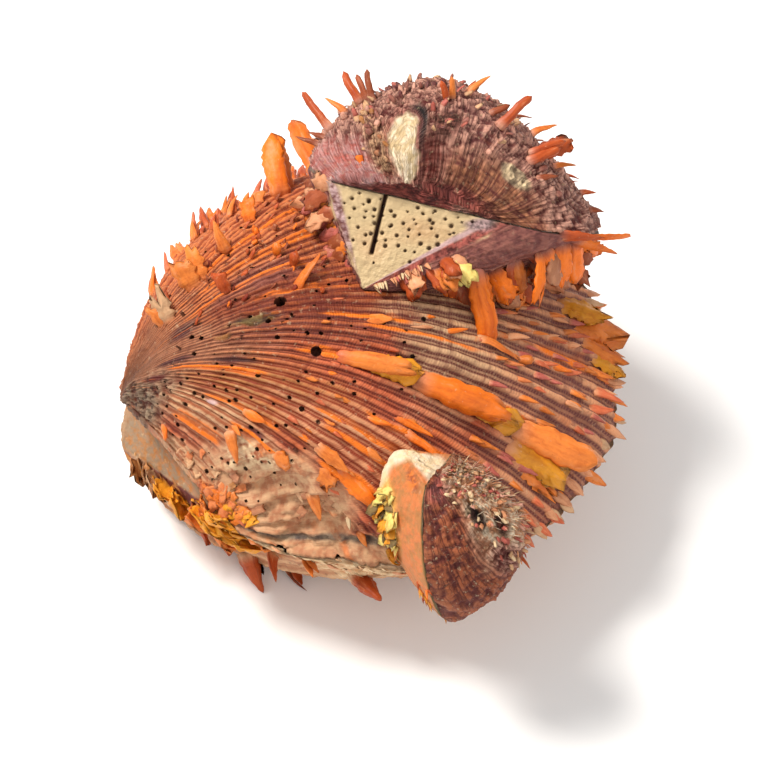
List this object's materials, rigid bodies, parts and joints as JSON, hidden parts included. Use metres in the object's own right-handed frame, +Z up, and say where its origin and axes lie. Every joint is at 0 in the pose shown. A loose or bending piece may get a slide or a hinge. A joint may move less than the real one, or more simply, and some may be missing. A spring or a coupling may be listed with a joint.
{
  "type": "thorny oyster shell cluster",
  "caption": "Thorny oyster shells grown together in a cluster: a large ribbed shell lying on its cut-off cemented valve, with smaller ones riding on it.",
  "frame": {"origin": "centre of the cluster's box, on the surface that it rests on", "axes": "+Z up from the flat attachment scar, the great valves meet in a level plane, and their beaks point towards -X; the flank shell is on the -Y side"},
  "size_m": [0.1386, 0.1588, 0.115],
  "materials": {
    "great_lower_valve": "dry shell, tan and orange with grey-brown layers",
    "great_upper_valve": "dry ribbed shell, salmon, maroon and orange with boring holes",
    "crest_lower_valve": "smooth cream hinge area with small holes, mauve flanks, orange spines",
    "crest_upper_valve": "rough purple-brown shell with a worn white beak",
    "flank_lower_valve": "smooth orange-tan shell with a white worn beak",
    "flank_upper_valve": "dark maroon shell crusted with pale growths"
  },
  "bodies": {
    "root": {"great_lower_valve": "great_lower_valve", "great_upper_valve": "great_upper_valve", "crest_lower_valve": "crest_lower_valve", "crest_upper_valve": "crest_upper_valve", "flank_lower_valve": "flank_lower_valve", "flank_upper_valve": "flank_upper_valve"}
  },
  "joints": []
}
